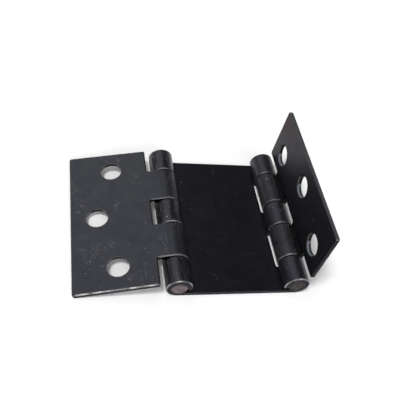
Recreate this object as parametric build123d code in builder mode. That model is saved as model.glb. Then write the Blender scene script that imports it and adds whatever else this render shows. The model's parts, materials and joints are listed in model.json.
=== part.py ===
from build123d import *
import os
from math import asin, atan2, cos, degrees, hypot, radians, sin, sqrt

# Double action hinge in sheet steel: a centre plate carries a leaf on a pin along each long edge.
# Sizes are in millimetres. The origin is the middle of the centre plate's underside. X runs from
# the left leaf to the right leaf, Y along the pins and Z up.

# Overall sizes
hinge_length = 40.0
pin_spacing = 28.4
left_reach = 23.2  # from the pin's axis to the leaf's outer edge
right_reach = 18.7
sheet = 1.0
pin_radius = 2.0

# Knuckles along a pin: the plate has one at each end and one in the middle, a leaf the two between
end_knuckle = 6.9
middle_knuckle = 7.1
curl_wrap = 292.0  # degrees that the sheet is rolled round its pin
curl_tip_radius = 0.3

# Clearances
running_clearance = 0.05  # between a pin and the knuckles that turn on it
knuckle_gap = 0.3  # between neighbouring knuckles, along the pin
left_relief = 1.45  # between the plate's knuckles and the edge of the leaf's slots round them
right_relief = 1.05
plate_relief = 0.55  # between the leaves' knuckles and the edge of the plate's slots round them

# Screw holes of a leaf: two in a row near the ends, and one midway that is set further out
screw_hole_radius = 2.55
screw_hole_pitch = 14.1
left_hole_inset = 6.25  # from the leaf's outer edge to the hole midway
right_hole_inset = 6.0
hole_stagger = 4.05

# Corners and edges of the stamped sheet: its outline is eased on the outer face, and the leaves'
# holes on the inner face, where the punch went in
corner_radius = 0.6
slot_corner_radius = 0.5
edge_chamfer = 0.25
hole_chamfer = 0.25

# Pin ends, swelled to grip the plate's end knuckles
pin_proud = 0.1
pin_chamfer = 0.25
stake_length = 1.5

# Sizes that follow
bore_radius = pin_radius + running_clearance
barrel_radius = bore_radius + sheet
half_length = hinge_length / 2
end_joint = half_length - end_knuckle  # along the pin, from the middle to each joint of knuckles
middle_joint = middle_knuckle / 2
left_pin_x = -pin_spacing / 2
right_pin_x = pin_spacing / 2

# Headings from +X towards +Z. The left leaf droops until its outer edge rests level with the plate's
# underside, and the right leaf stands upright.
droop = atan2(bore_radius, left_reach) + asin(barrel_radius / hypot(left_reach, bore_radius))
left_heading = 180 + degrees(droop)
right_heading = 90.0


def slot_edge(relief):
    """Distance from a pin's axis to the edge of a slot that clears the knuckle in it by the relief."""
    return sqrt((barrel_radius + relief) ** 2 - bore_radius**2)


def sheet_planes(pin_x, heading):
    """Planes on a pin's axis: across the section of a sheet that leaves the pin, and over its face."""
    axis_point = Vector(pin_x, 0, barrel_radius)
    along = Vector(cos(radians(heading)), 0, sin(radians(heading)))
    outward = Vector(0, 1, 0).cross(along)
    return Plane(axis_point, along, (0, 1, 0)), Plane(axis_point, along, outward)


def rolled_section(plane, reach):
    """Section of a sheet that runs from its pin out to the reach and is rolled round the pin."""
    with BuildSketch(plane) as section:
        with BuildLine():
            outside = CenterArc((0, 0), barrel_radius, 90, curl_wrap)
            inside = CenterArc((0, 0), bore_radius, 90, curl_wrap)
            Line(outside @ 1, inside @ 1)
            Polyline(outside @ 0, (reach, barrel_radius), (reach, bore_radius), inside @ 0)
        make_face()
        fillet(section.vertices().sort_by_distance(outside @ 1)[0], curl_tip_radius)
    return section.sketch


os.makedirs("parts", exist_ok=True)

# Centre plate: one sheet with both long edges rolled up round the pins, and slots for the leaves'
# knuckles that have rounded corners in the flat sheet and square ones between its own knuckles
plate_slot = 2 * slot_edge(plate_relief)
plate_slot_width = end_joint - middle_joint + knuckle_gap
plate_slot_spacing = end_joint + middle_joint
section_plane, flat_plane = sheet_planes(left_pin_x, 0)
with BuildPart() as centre_plate:
    extrude(rolled_section(section_plane, pin_spacing / 2), amount=half_length, both=True)
    mirror(about=Plane.YZ)
    with BuildSketch() as sheet_slots:
        with GridLocations(pin_spacing, plate_slot_spacing, 2, 2):
            Rectangle(plate_slot, plate_slot_width)
        fillet(sheet_slots.vertices().sort_by(lambda v: abs(v.X))[:8], slot_corner_radius)
    extrude(amount=sheet, mode=Mode.SUBTRACT)
    with BuildSketch(Plane.XY.offset(sheet)):
        with GridLocations(pin_spacing, plate_slot_spacing, 2, 2):
            Rectangle(2 * barrel_radius + plate_relief, plate_slot_width)
    extrude(amount=2 * barrel_radius, mode=Mode.SUBTRACT)
    underside = centre_plate.faces().filter_by(Plane.XY).sort_by(Axis.Z)[0]
    slot_rims = underside.edges().filter_by(Axis.Y).sort_by(lambda e: abs(e.center().X))[:4]
    end_rims = underside.edges().filter_by(Axis.X).sort_by(lambda e: abs(e.center().Y))[-2:]
    chamfer(slot_rims + end_rims, edge_chamfer)
centre_plate.part.label = "centre_plate"
export_step(centre_plate.part, "parts/centre_plate.step")

# Leaves: each is one sheet rolled round its pin, with slots round the plate's knuckles
leaves = (
    ("left_leaf", left_pin_x, left_heading, left_reach, left_relief, left_hole_inset),
    ("right_leaf", right_pin_x, right_heading, right_reach, right_relief, right_hole_inset),
)
for name, pin_x, heading, reach, relief, hole_inset in leaves:
    section_plane, flat_plane = sheet_planes(pin_x, heading)
    outer_hole = reach - hole_inset
    inner_hole = outer_hole - hole_stagger
    holes = ((outer_hole, 0), (inner_hole, -screw_hole_pitch), (inner_hole, screw_hole_pitch))
    with BuildPart() as leaf:
        extrude(rolled_section(section_plane, reach), amount=half_length, both=True)
        with BuildSketch(flat_plane) as blank:
            with Locations((reach, 0)):
                Rectangle(reach + barrel_radius, hinge_length, align=(Align.MAX, Align.CENTER))
            fillet(blank.vertices().group_by(Axis.X)[-1], corner_radius)
            Rectangle(2 * slot_edge(relief), middle_knuckle + knuckle_gap, mode=Mode.SUBTRACT)
            with GridLocations(0, hinge_length, 1, 2):
                Rectangle(2 * slot_edge(relief), 2 * end_knuckle + knuckle_gap, mode=Mode.SUBTRACT)
            fillet(blank.vertices().group_by(Axis.X)[1], slot_corner_radius)
            with Locations(*holes):
                Circle(screw_hole_radius, mode=Mode.SUBTRACT)
        extrude(amount=2 * barrel_radius, both=True, mode=Mode.INTERSECT)
        outward = Axis(flat_plane.origin, flat_plane.z_dir)
        along = Axis(flat_plane.origin, flat_plane.x_dir)
        outer_face = leaf.faces().filter_by(flat_plane).sort_by(outward)[-1]
        rims = outer_face.edges().filter_by(Axis.Y).sort_by(along, reverse=True)[:4]
        chamfer(rims, edge_chamfer)
        inner_face = leaf.faces().filter_by(flat_plane).sort_by(outward)[0]
        chamfer(inner_face.edges().filter_by(lambda e: e.is_closed), hole_chamfer)
    leaf.part.label = name
    export_step(leaf.part, f"parts/{name}.step")

# Pins: round bar with both ends swelled to grip the plate's end knuckles
pin_end = half_length + pin_proud
stake_start = half_length - stake_length
for name, pin_x in (("left_pin", left_pin_x), ("right_pin", right_pin_x)):
    with BuildPart() as pin:
        with BuildSketch(Plane((pin_x, 0, barrel_radius), (0, 1, 0), (1, 0, 0))) as half_profile:
            with BuildLine():
                Polyline(
                    (0, 0),
                    (0, pin_radius),
                    (stake_start, pin_radius),
                    (stake_start, bore_radius),
                    (pin_end, bore_radius),
                    (pin_end, 0),
                    close=True,
                )
            make_face()
            chamfer(half_profile.vertices().sort_by(lambda v: v.X + v.Y)[-1], pin_chamfer)
        revolve(axis=Axis((pin_x, 0, barrel_radius), (0, 1, 0)))
        mirror(about=Plane.XZ)
    pin.part.label = name
    export_step(pin.part, f"parts/{name}.step")
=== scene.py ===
import json
from math import radians

import bpy
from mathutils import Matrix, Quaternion, Vector


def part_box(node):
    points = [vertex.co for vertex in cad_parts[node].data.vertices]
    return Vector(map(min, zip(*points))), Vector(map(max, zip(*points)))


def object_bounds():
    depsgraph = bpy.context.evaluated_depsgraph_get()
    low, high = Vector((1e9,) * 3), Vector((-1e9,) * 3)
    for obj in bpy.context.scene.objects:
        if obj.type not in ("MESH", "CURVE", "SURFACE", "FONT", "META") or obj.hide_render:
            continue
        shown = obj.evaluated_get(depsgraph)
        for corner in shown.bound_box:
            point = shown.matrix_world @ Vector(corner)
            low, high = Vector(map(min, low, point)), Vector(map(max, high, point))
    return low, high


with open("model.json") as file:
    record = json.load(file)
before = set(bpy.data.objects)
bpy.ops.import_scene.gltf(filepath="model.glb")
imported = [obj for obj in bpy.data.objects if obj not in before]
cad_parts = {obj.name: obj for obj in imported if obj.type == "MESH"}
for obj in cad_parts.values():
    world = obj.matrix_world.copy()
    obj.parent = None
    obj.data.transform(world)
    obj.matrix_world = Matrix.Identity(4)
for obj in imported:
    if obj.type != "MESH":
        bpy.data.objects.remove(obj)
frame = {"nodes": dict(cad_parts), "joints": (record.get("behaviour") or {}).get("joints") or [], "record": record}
cad_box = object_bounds()

MM = 0.001

# Camera, as fitted to the outline in the photograph
CAMERA_AT = Vector((-43.313, -81.77, 109.878)) * MM
CAMERA_TARGET = Vector((-5.469, 5.615, 3.0)) * MM
CAMERA_ROLL = radians(19.07)
CAMERA_LENS = 50.84
CAMERA_SENSOR = 36.0
CAMERA_NEAR = 1 * MM

# White floor, just below the hinge
FLOOR_SIZE = 8.0
FLOOR_DROP = 0.02 * MM
FLOOR_COLOUR = (0.92, 0.92, 0.92, 1.0)
FLOOR_GLOW = 0.07  # lifts its shadows a little

# Surround, by direction: pale, white at the horizon, with a window and a dark card that the sheets mirror
WHITE = (1.0, 1.0, 1.0, 1.0)
SURROUND = (0.32, 0.32, 0.32, 1.0)
HORIZON = (0.03, 0.08)  # height where the white of the floor gives way to the surround
WINDOW_AT = Vector((-0.22, 0.6, 0.77))
WINDOW_EDGE = (0.8, 0.93)
CARD = (0.025, 0.025, 0.028, 1.0)
CARD_EDGES = (("X", -0.06, 0.17), ("X", 0.68, 0.5), ("Y", -0.35, 0.1), ("Z", 0.25, 0.55))

# Lamps, by place and size in millimetres and power in watts: a soft box in front and one far overhead
LAMPS = (
    ("front_lamp", (44, -440, 291), (600, 200), 1.08),
    ("top_lamp", (-5425, -3400, 13575), (3000, 3000), 1350.0),
)

# Places from the frame: a point on the pin of each leaf, the way that each mount looks, and the far end
PIN_AT = {joint["child"]: Vector(joint["pos_m"]) for joint in frame["joints"]}
MOUNT_LOOKS = {mount["name"]: Vector(mount["axis"]) for mount in frame["record"]["mounts"]}
PIN_X = PIN_AT["right_leaf"].x
PIN_Z = PIN_AT["right_leaf"].z
HINGE_END = cad_box[1].y

# Rolled sheet: the hinge lies on its barrels, so their radius is the height of the pins
SHEET = 1.0 * MM
BORE = PIN_Z - SHEET
BARREL_FADE = (PIN_Z + 0.1 * MM, PIN_Z + 0.35 * MM)

# Black coat: its deepest colour, and the palest clouds, roughness and sheen of each sheet
COAT_COLOUR = (0.0035, 0.0033, 0.0052, 1.0)
COAT_TINT = (0.82, 0.86, 1.0, 1.0)
CLOUD_COLOURS = {
    "centre_plate": (0.006, 0.0053, 0.008, 1.0),
    "left_leaf": (0.011, 0.011, 0.0125, 1.0),
    "right_leaf": (0.004, 0.004, 0.0055, 1.0),
}
COAT_ROUGHNESS = {
    "centre_plate": (0.28, 0.33),
    "left_leaf": (0.24, 0.36),
    "right_leaf": (0.42, 0.52),
}
SPECULAR = {"centre_plate": 0.6, "left_leaf": 0.6, "right_leaf": 0.31}
NOISE_SPREAD = (0.3, 0.7)  # part of a noise's range that runs from none to full
EDGE_ROUNDING = 0.1 * MM
CLOUD_BUMP = (0.01 * MM, 0.2)  # depth and strength, as for the other bumps
GRAIN_BUMP = (0.005 * MM, 0.3)

# Coat on the knuckles, paler on the right leaf's as painted sheen, scratched along the pins, with the plate's pale
# scratches kept to its left knuckles as partly painted highlight, and duller on the plate's right ones
KNUCKLE_COLOURS_AND_SHEEN = {
    "centre_plate": (0.006, 0.0055, 0.008, 1.0),
    "left_leaf": (0.006, 0.006, 0.0075, 1.0),
    "right_leaf": (0.021, 0.021, 0.023, 1.0),
}
BARREL_ROUGHNESS = {
    "centre_plate": (0.26, 0.38),
    "left_leaf": (0.4, 0.54),
    "right_leaf": (0.24, 0.36),
}
RIGHT_DULLNESS = 0.09
KNUCKLE_TONE_SPREAD = (0.2, 0.6)
SCRATCHES_AND_HIGHLIGHT = {"centre_plate": 0.5, "left_leaf": 0.1, "right_leaf": 0.1}
SCRATCH_SPREAD = (0.48, 0.7)
SCRATCHED_AREAS = (0.42, 0.6)
STREAK_BUMP = (0.02 * MM, 0.6)

# Wispy scuffs on the flat sheet, and specks of dust, with more of them on the knuckles
SCUFFS = {"centre_plate": 0.04, "left_leaf": 0.6, "right_leaf": 0.1}
SCUFF_COLOUR = (0.085, 0.085, 0.09, 1.0)
SCUFF_WIDTH = 0.024
SCUFFED_AREAS = (0.52, 0.66)
DUST_COLOUR = (0.3, 0.3, 0.3, 1.0)
DUST_SPREAD = (0.7, 0.78)
DUSTY_AREAS = (0.45, 0.65)
BARREL_DUST = 0.03

# Painted warm reflection in the back upper corner of the right leaf, on the face that looks to the plate: a warm
# colour that stands in for the floor it mirrors there
WARM_REFLECTION_PAINT = (0.036, 0.011, 0.0145, 1.0)
WARM_REFLECTION_ROUGHNESS = 0.6
WARM_REFLECTION_REACH = 14 * MM
WARM_REFLECTION_FACING = (-0.7, -0.9)

# Edges where the coat is worn, more in places that a noise picks
WORN_COLOUR = (0.15, 0.145, 0.14, 1.0)
WORN_ROUGHNESS = 0.36
WORN_REACH = 0.3 * MM
WORN_SPREAD = (0.15, 0.4)
WORN_SHARE = (0.2, 0.8)
RUB_SPREAD = (0.36, 0.62)

# Faces cut across the sheet, a dark brown metal darker than the coat as painted shade for the shaded floor they
# mirror, and their chamfered rims, which are rubbed brightest at the hinge's ends
CUT_FACE_SHADE = (0.018, 0.0115, 0.009, 1.0)
CUT_FACING = (0.82, 0.9)
RIM_COLOUR = (0.29, 0.283, 0.278, 1.0)
RIM_FACING = ((0.6, 0.68), (0.74, 0.82))
RIM_SHARE = (0.18, 1.0)
HANDLED_FROM = (HINGE_END - 1.6 * MM, HINGE_END - 0.8 * MM)
HANDLED_SHARE = (0.4, 1.0)

# Sheared faces that look away from a leaf's pin: a hole's wall is painted pale and bluish near the outer face, a
# painted reflection of the pale surround, and dark beyond
SHEARED_FACING = (0.25, 0.7)
SHEARED_ROUGHNESS = 0.6
WALL_REFLECTION_PAINT = (0.115, 0.124, 0.146, 1.0)
WALL_REFLECTION_DEPTH = (0.4 * MM, 0.52 * MM)
DEEP_WALL_COLOUR = (0.012, 0.012, 0.014, 1.0)
LONG_EDGE_COLOUR = (0.042, 0.043, 0.048, 1.0)
LONG_EDGE_DEPTH = (0.1 * MM, 0.05 * MM)

# Pins: steel on the bare end of each, tarnished in patches, the right pin's end much darker than the left's, with
# a dark ring near its rim
PIN_COLOURS = {
    "left_pin": ((0.207, 0.163, 0.172, 1.0), (0.095, 0.071, 0.075, 1.0)),
    "right_pin": ((0.055, 0.044, 0.04, 1.0), (0.024, 0.02, 0.018, 1.0)),
}
PIN_TARNISH = (0.35, 0.65)
PIN_METALLIC = 0.85
PIN_ROUGHNESS = (0.42, 0.6)
PIN_FACE = 0.03 * MM
PIN_ROUNDING = 0.15 * MM
PIN_BUMP = (0.02 * MM, 0.5)
PIN_RINGS = {"left_pin": 0.2, "right_pin": 0.8}
RING = ((1.25 * MM, 1.4 * MM), (1.5 * MM, 1.65 * MM))


class Graph:
    """Short ways to add the nodes that the materials are made of."""

    def __init__(self, tree):
        self.tree = tree
        coordinates = tree.nodes.new("ShaderNodeTexCoord").outputs
        self.place = coordinates["Object"]
        self.facing = coordinates["Normal"]
        self.toward = coordinates["Generated"]

    def add(self, kind, **settings):
        """Adds a node and sets its own properties."""
        node = self.tree.nodes.new(kind)
        for name, value in settings.items():
            setattr(node, name, value)
        return node

    def feed(self, socket, value):
        """Links a socket's value into another socket, or sets a plain value on it."""
        if isinstance(value, bpy.types.NodeSocket):
            self.tree.links.new(value, socket)
        else:
            socket.default_value = value

    def math(self, operation, *numbers):
        """Number worked out from others."""
        node = self.add("ShaderNodeMath", operation=operation)
        for socket, number in zip(node.inputs, numbers):
            self.feed(socket, number)
        return node.outputs["Value"]

    def vector(self, operation, first, second):
        """Outputs of a sum on two vectors."""
        node = self.add("ShaderNodeVectorMath", operation=operation)
        self.feed(node.inputs[0], first)
        self.feed(node.inputs[1], second)
        return node.outputs

    def dot(self, first, second):
        """How far one vector goes along another."""
        return self.vector("DOT_PRODUCT", first, second)["Value"]

    def part(self, vector, axis):
        """One of the three numbers of a vector."""
        node = self.add("ShaderNodeSeparateXYZ")
        self.feed(node.inputs["Vector"], vector)
        return node.outputs[axis]

    def size_of(self, vector, axis):
        """One of the three numbers of a vector, without its sign."""
        return self.math("ABSOLUTE", self.part(vector, axis))

    def noise(self, size_mm, detail=2.0, roughness=0.5, seed=0.0, twist=0.0, stretch=(1, 1, 1)):
        """Noise in the piece's own frame, with features about so many millimetres across."""
        node = self.add("ShaderNodeTexNoise", noise_dimensions="4D")
        scaled = self.vector("DIVIDE", self.place, Vector(stretch) * size_mm * MM)
        self.feed(node.inputs["Vector"], scaled["Vector"])
        self.feed(node.inputs["Scale"], 1.0)
        self.feed(node.inputs["W"], seed)
        self.feed(node.inputs["Detail"], detail)
        self.feed(node.inputs["Roughness"], roughness)
        self.feed(node.inputs["Distortion"], twist)
        return node.outputs["Fac"]

    def span(self, value, low, high, to_low=0.0, to_high=1.0):
        """Maps a value's range smoothly on another, and holds it at both ends."""
        node = self.add("ShaderNodeMapRange", interpolation_type="SMOOTHSTEP")
        names = ("Value", "From Min", "From Max", "To Min", "To Max")
        for name, number in zip(names, (value, low, high, to_low, to_high)):
            self.feed(node.inputs[name], number)
        return node.outputs["Result"]

    def band(self, value, rise, fall):
        """1 where a value lies between two ranges, fading to 0 across each of them."""
        return self.math("MULTIPLY", self.span(value, *rise), self.span(value, *fall, 1, 0))

    def mix(self, factor, first, second):
        """Colour between two others."""
        node = self.add("ShaderNodeMix", data_type="RGBA")
        self.feed(node.inputs[0], factor)
        self.feed(node.inputs[6], first)
        self.feed(node.inputs[7], second)
        return node.outputs[2]

    def mix_number(self, factor, first, second):
        """Number between two others."""
        node = self.add("ShaderNodeMix", data_type="FLOAT")
        self.feed(node.inputs[0], factor)
        self.feed(node.inputs[2], first)
        self.feed(node.inputs[3], second)
        return node.outputs[0]

    def from_axis(self):
        """Distance from the nearer pin's axis."""
        across = self.math("SUBTRACT", self.size_of(self.place, "X"), PIN_X)
        above = self.math("SUBTRACT", self.part(self.place, "Z"), PIN_Z)
        square = self.math("MULTIPLY_ADD", across, across, self.math("MULTIPLY", above, above))
        return self.math("SQRT", square)

    def rounded_normal(self, radius):
        """Normal that turns smoothly over an edge, as if the edge were rounded."""
        node = self.add("ShaderNodeBevel", samples=8)
        self.feed(node.inputs["Radius"], radius)
        return node.outputs["Normal"]

    def edges(self, reach, low, high):
        """1 beside a sharp or chamfered outer edge, and 0 on flat or gently curved metal."""
        node = self.add("ShaderNodeAmbientOcclusion", samples=16, inside=True, only_local=True)
        self.feed(node.inputs["Distance"], reach)
        return self.span(node.outputs["AO"], 1 - low, 1 - high)

    def bump(self, height, depth, strength, normal):
        """Normal with a height added to it."""
        node = self.add("ShaderNodeBump")
        self.feed(node.inputs["Height"], height)
        self.feed(node.inputs["Distance"], depth)
        self.feed(node.inputs["Strength"], strength)
        self.feed(node.inputs["Normal"], normal)
        return node.outputs["Normal"]


def new_material(name):
    """New node material, with its graph and its shader's inputs."""
    material = bpy.data.materials.new(name)
    material.use_nodes = True
    shader = material.node_tree.nodes["Principled BSDF"]
    return material, Graph(material.node_tree), shader.inputs


def warm_reflection_mask(graph, corner):
    """1 in a corner of the face that looks to the plate, fading with the distance from there: where a warm
    reflection is painted.
    """
    from_corner = graph.vector("DISTANCE", graph.place, corner)["Value"]
    near = graph.span(from_corner, 0, WARM_REFLECTION_REACH, 1, 0)
    return graph.math("MULTIPLY", near, graph.span(graph.part(graph.facing, "X"), *WARM_REFLECTION_FACING))


def scuff_mask(graph, amount):
    """Thin wisps along the creases of a noise, here and there."""
    ridges = graph.noise(2.8, detail=3.0, seed=29.0, twist=1.5)
    creases = graph.math("ABSOLUTE", graph.math("SUBTRACT", ridges, 0.5))
    areas = graph.span(graph.noise(5.0, seed=31.0), *SCUFFED_AREAS)
    return graph.math("MULTIPLY", graph.span(creases, 0, SCUFF_WIDTH, amount, 0), areas)


def dust_mask(graph, barrels):
    """Specks here and there, and more of them on the knuckles."""
    spots = graph.math("MULTIPLY_ADD", barrels, BARREL_DUST, graph.noise(0.35, detail=1.0, seed=11.0))
    areas = graph.span(graph.noise(4.0, seed=13.0), *DUSTY_AREAS)
    return graph.math("MULTIPLY", graph.span(spots, *DUST_SPREAD), areas)


def sheared_faces_painted(graph, leaf):
    """Mask and colour of a leaf's faces that look away from its pin: walls of holes, with a painted reflection
    near the outer face, and the long edge.
    """
    pin = PIN_AT[leaf]
    outward = MOUNT_LOOKS[f"{leaf}_face"]
    way = Vector((-outward.z, 0, outward.x))
    reach = max((vertex.co - pin).dot(way) for vertex in frame["nodes"][leaf].data.vertices)
    from_pin = graph.vector("SUBTRACT", graph.place, pin)["Vector"]
    depth = graph.math("SUBTRACT", graph.dot(from_pin, outward), BORE)
    hole = graph.mix(graph.span(depth, *WALL_REFLECTION_DEPTH), WALL_REFLECTION_PAINT, DEEP_WALL_COLOUR)
    edge_fade = [reach - inset for inset in LONG_EDGE_DEPTH]
    long_edge = graph.span(graph.dot(from_pin, way), *edge_fade)
    mask = graph.span(graph.dot(graph.facing, way), *SHEARED_FACING)
    return mask, graph.mix(long_edge, hole, LONG_EDGE_COLOUR)


def rim_mask(graph, looks_along, rub):
    """Chamfers at the ends of knuckles, where they are rubbed."""
    rims = graph.math("MULTIPLY", graph.band(looks_along, *RIM_FACING), graph.mix_number(rub, *RIM_SHARE))
    handled = graph.span(graph.size_of(graph.place, "Y"), *HANDLED_FROM, *HANDLED_SHARE)
    return graph.math("MULTIPLY", rims, handled)


def black_coat(node_name, warm_reflection_at=None):
    """Thin satin black coat on sheet steel: cloudy, scuffed, dusty, and rubbed along the edges, with painted
    sheen, highlight, reflections and shade in places.
    """
    material, graph, shader = new_material(f"{node_name}_coat")
    barrels = graph.span(graph.from_axis(), *BARREL_FADE, 1, 0)
    off_barrel = graph.math("SUBTRACT", 1.0, barrels)
    clouds = graph.noise(4.5, detail=5.0, roughness=0.6, twist=1.1)
    smears = graph.noise(1.4, detail=4.0, roughness=0.65, seed=3.0, twist=0.6)
    streaks = graph.noise(0.4, detail=3.0, seed=5.0, stretch=(1, 7, 1))
    grain = graph.noise(0.16, seed=7.0)
    rub = graph.span(graph.noise(2.2, detail=3.0, seed=17.0), *RUB_SPREAD)

    # Coat on the flat sheet
    coat = graph.mix(graph.span(clouds, *NOISE_SPREAD), COAT_COLOUR, CLOUD_COLOURS[node_name])
    rough = graph.mix_number(graph.span(smears, *NOISE_SPREAD), *COAT_ROUGHNESS[node_name])
    # Painted reflection: a warm colour in the back upper corner of the right leaf, where its face mirrors the
    # floor, with a rougher coat there
    if warm_reflection_at:
        warm_reflection = warm_reflection_mask(graph, warm_reflection_at)
        coat = graph.mix(warm_reflection, coat, WARM_REFLECTION_PAINT)
        rough = graph.mix_number(warm_reflection, rough, WARM_REFLECTION_ROUGHNESS)
    scuffs = graph.math("MULTIPLY", scuff_mask(graph, SCUFFS[node_name]), off_barrel)
    coat = graph.mix(scuffs, coat, SCUFF_COLOUR)

    # Coat on the knuckles, and dust on it all
    # Knuckle colour: on the right leaf a paler coat, painted sheen that stands in for the highlight along its
    # knuckles
    knuckle_tone_and_sheen = graph.math("MULTIPLY", graph.span(clouds, *KNUCKLE_TONE_SPREAD), barrels)
    # Pale scratches along the pins; on the plate they stay on its left knuckles only, partly real scratches and
    # partly a painted highlight for the light from the left
    scratches_and_highlight = graph.span(streaks, *SCRATCH_SPREAD, 0, SCRATCHES_AND_HIGHLIGHT[node_name])
    scratches_and_highlight = graph.math("MULTIPLY", scratches_and_highlight, graph.span(smears, *SCRATCHED_AREAS))
    scratches_and_highlight = graph.math("MULTIPLY", scratches_and_highlight, barrels)
    barrel_rough = graph.span(streaks, *NOISE_SPREAD, *BARREL_ROUGHNESS[node_name])
    if node_name == "centre_plate":
        on_right = graph.math("GREATER_THAN", graph.part(graph.place, "X"), 0.0)
        scratches_and_highlight = graph.mix_number(on_right, scratches_and_highlight, 0.0)
        barrel_rough = graph.math("MULTIPLY_ADD", on_right, RIGHT_DULLNESS, barrel_rough)
    coat = graph.mix(knuckle_tone_and_sheen, coat, KNUCKLE_COLOURS_AND_SHEEN[node_name])
    coat = graph.mix(scratches_and_highlight, coat, SCUFF_COLOUR)
    coat = graph.mix(dust_mask(graph, barrels), coat, DUST_COLOUR)
    rough = graph.mix_number(barrels, rough, barrel_rough)

    # Worn bare metal, painted reflection and shade on sheared and cut faces, and rubbed rims, from the widest mask
    # to the narrowest
    worn = graph.edges(WORN_REACH, *WORN_SPREAD)
    metal = graph.math("MULTIPLY", worn, graph.mix_number(rub, *WORN_SHARE))
    colour = graph.mix(metal, coat, WORN_COLOUR)
    rough = graph.mix_number(metal, rough, WORN_ROUGHNESS)
    # Sheared faces that look away from a leaf's pin: pale on the walls of holes, a painted reflection of the
    # surround, and not metal
    if node_name in PIN_AT:
        looks_away, steel = sheared_faces_painted(graph, node_name)
        sheared = graph.math("MULTIPLY", looks_away, off_barrel)
        metal = graph.mix_number(sheared, metal, 0.0)
        colour = graph.mix(sheared, colour, steel)
        rough = graph.mix_number(sheared, rough, SHEARED_ROUGHNESS)
    # Faces that look along the pins: a dark brown metal, painted shade for the shaded floor that they mirror
    looks_along = graph.size_of(graph.facing, "Y")
    cut = graph.span(looks_along, *CUT_FACING)
    metal = graph.math("MAXIMUM", metal, cut)
    colour = graph.mix(cut, colour, CUT_FACE_SHADE)
    rims = rim_mask(graph, looks_along, rub)
    metal = graph.math("MAXIMUM", metal, rims)
    colour = graph.mix(rims, colour, RIM_COLOUR)

    graph.feed(shader["Base Color"], colour)
    graph.feed(shader["Metallic"], metal)
    graph.feed(shader["Specular IOR Level"], SPECULAR[node_name])
    graph.feed(shader["Specular Tint"], COAT_TINT)
    graph.feed(shader["Roughness"], rough)
    normal = graph.rounded_normal(EDGE_ROUNDING)
    normal = graph.bump(clouds, *CLOUD_BUMP, normal)
    normal = graph.bump(graph.math("MULTIPLY", streaks, barrels), *STREAK_BUMP, normal)
    graph.feed(shader["Normal"], graph.bump(grain, *GRAIN_BUMP, normal))
    return material


def pin_steel(node_name):
    """Steel bar with bare cropped end faces, tarnished in patches, and black all round."""
    material, graph, shader = new_material(f"{node_name}_steel")
    patches = graph.span(graph.noise(1.0, detail=4.0, roughness=0.6, seed=21.0), *PIN_TARNISH)
    grain = graph.noise(0.2, detail=3.0, roughness=0.7, seed=23.0)
    pin_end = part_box(node_name)[1][1]
    face = graph.span(graph.size_of(graph.place, "Y"), pin_end - PIN_FACE, pin_end - PIN_FACE / 2)
    steel = graph.mix(patches, *PIN_COLOURS[node_name])
    ring = graph.math("MULTIPLY", graph.band(graph.from_axis(), *RING), PIN_RINGS[node_name])
    steel = graph.mix(ring, steel, COAT_COLOUR)
    graph.feed(shader["Base Color"], graph.mix(face, COAT_COLOUR, steel))
    graph.feed(shader["Metallic"], graph.math("MULTIPLY", face, PIN_METALLIC))
    graph.feed(shader["Roughness"], graph.mix_number(grain, *PIN_ROUGHNESS))
    graph.feed(shader["Normal"], graph.bump(grain, *PIN_BUMP, graph.rounded_normal(PIN_ROUNDING)))
    return material


def dress_nodes():
    """Gives each CAD node its material."""
    right_low, right_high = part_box("right_leaf")
    top_back_corner = Vector((right_low.x, right_high.y, right_high.z))
    finishes = {
        "centre_plate": black_coat("centre_plate"),
        "left_leaf": black_coat("left_leaf"),
        "right_leaf": black_coat("right_leaf", top_back_corner),
        "left_pin": pin_steel("left_pin"),
        "right_pin": pin_steel("right_pin"),
    }
    for name, finish in finishes.items():
        frame["nodes"][name].material_slots[0].material = finish


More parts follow.
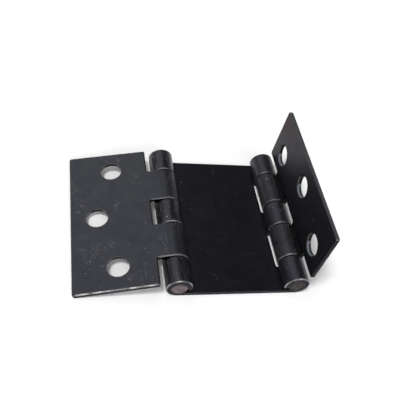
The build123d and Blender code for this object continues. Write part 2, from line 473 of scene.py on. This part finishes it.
def add_floor():
    """White floor that keeps the shadow, with a glow that the camera and reflections see."""
    bpy.ops.mesh.primitive_plane_add(size=FLOOR_SIZE, location=(0, 0, cad_box[0].z - FLOOR_DROP))
    floor = bpy.context.object
    floor.name = "floor"
    material, graph, shader = new_material("floor_white")
    graph.feed(shader["Base Color"], FLOOR_COLOUR)
    graph.feed(shader["Roughness"], 1.0)
    graph.feed(shader["Specular IOR Level"], 0.0)
    rays = graph.add("ShaderNodeLightPath").outputs
    mirrored = graph.math("MAXIMUM", rays["Is Glossy Ray"], rays["Is Transmission Ray"])
    seen = graph.math("MAXIMUM", rays["Is Camera Ray"], mirrored)
    graph.feed(shader["Emission Color"], WHITE)
    graph.feed(shader["Emission Strength"], graph.math("MULTIPLY", seen, FLOOR_GLOW))
    floor.data.materials.append(material)


def add_surround():
    """Pale surround with a bright window and a dark card in it, and white along the horizon."""
    world = bpy.data.worlds.new("studio")
    world.use_nodes = True
    bpy.context.scene.world = world
    graph = Graph(world.node_tree)
    window = graph.span(graph.dot(graph.toward, WINDOW_AT.normalized()), *WINDOW_EDGE)
    light = graph.mix(window, SURROUND, WHITE)
    card = 1.0
    for axis, outside, inside in CARD_EDGES:
        card = graph.math("MULTIPLY", card, graph.span(graph.part(graph.toward, axis), outside, inside))
    light = graph.mix(card, light, CARD)
    above_horizon = graph.span(graph.part(graph.toward, "Z"), *HORIZON)
    light = graph.mix(above_horizon, WHITE, light)
    graph.feed(world.node_tree.nodes["Background"].inputs["Color"], light)


def add_lamps():
    """Soft rectangular lamps that face the object."""
    for name, place, (width, height), power in LAMPS:
        data = bpy.data.lights.new(name, "AREA")
        data.shape = "RECTANGLE"
        data.size = width * MM
        data.size_y = height * MM
        data.energy = power
        lamp = bpy.data.objects.new(name, data)
        lamp.location = Vector(place) * MM
        lamp.rotation_mode = "QUATERNION"
        lamp.rotation_quaternion = (-lamp.location).to_track_quat("-Z", "Y")
        lamp.visible_camera = False
        bpy.context.collection.objects.link(lamp)


def add_camera():
    """Camera that looks at the hinge as the photograph does."""
    data = bpy.data.cameras.new("camera")
    data.sensor_width = CAMERA_SENSOR
    data.lens = CAMERA_LENS
    data.clip_start = CAMERA_NEAR
    camera = bpy.data.objects.new("camera", data)
    camera.location = CAMERA_AT
    camera.rotation_mode = "QUATERNION"
    aim = (CAMERA_TARGET - CAMERA_AT).to_track_quat("-Z", "Y")
    camera.rotation_quaternion = aim @ Quaternion((0, 0, 1), CAMERA_ROLL)
    bpy.context.collection.objects.link(camera)
    bpy.context.scene.camera = camera


dress_nodes()
add_floor()
add_surround()
add_lamps()
add_camera()
bpy.context.scene.view_settings.view_transform = "Standard"
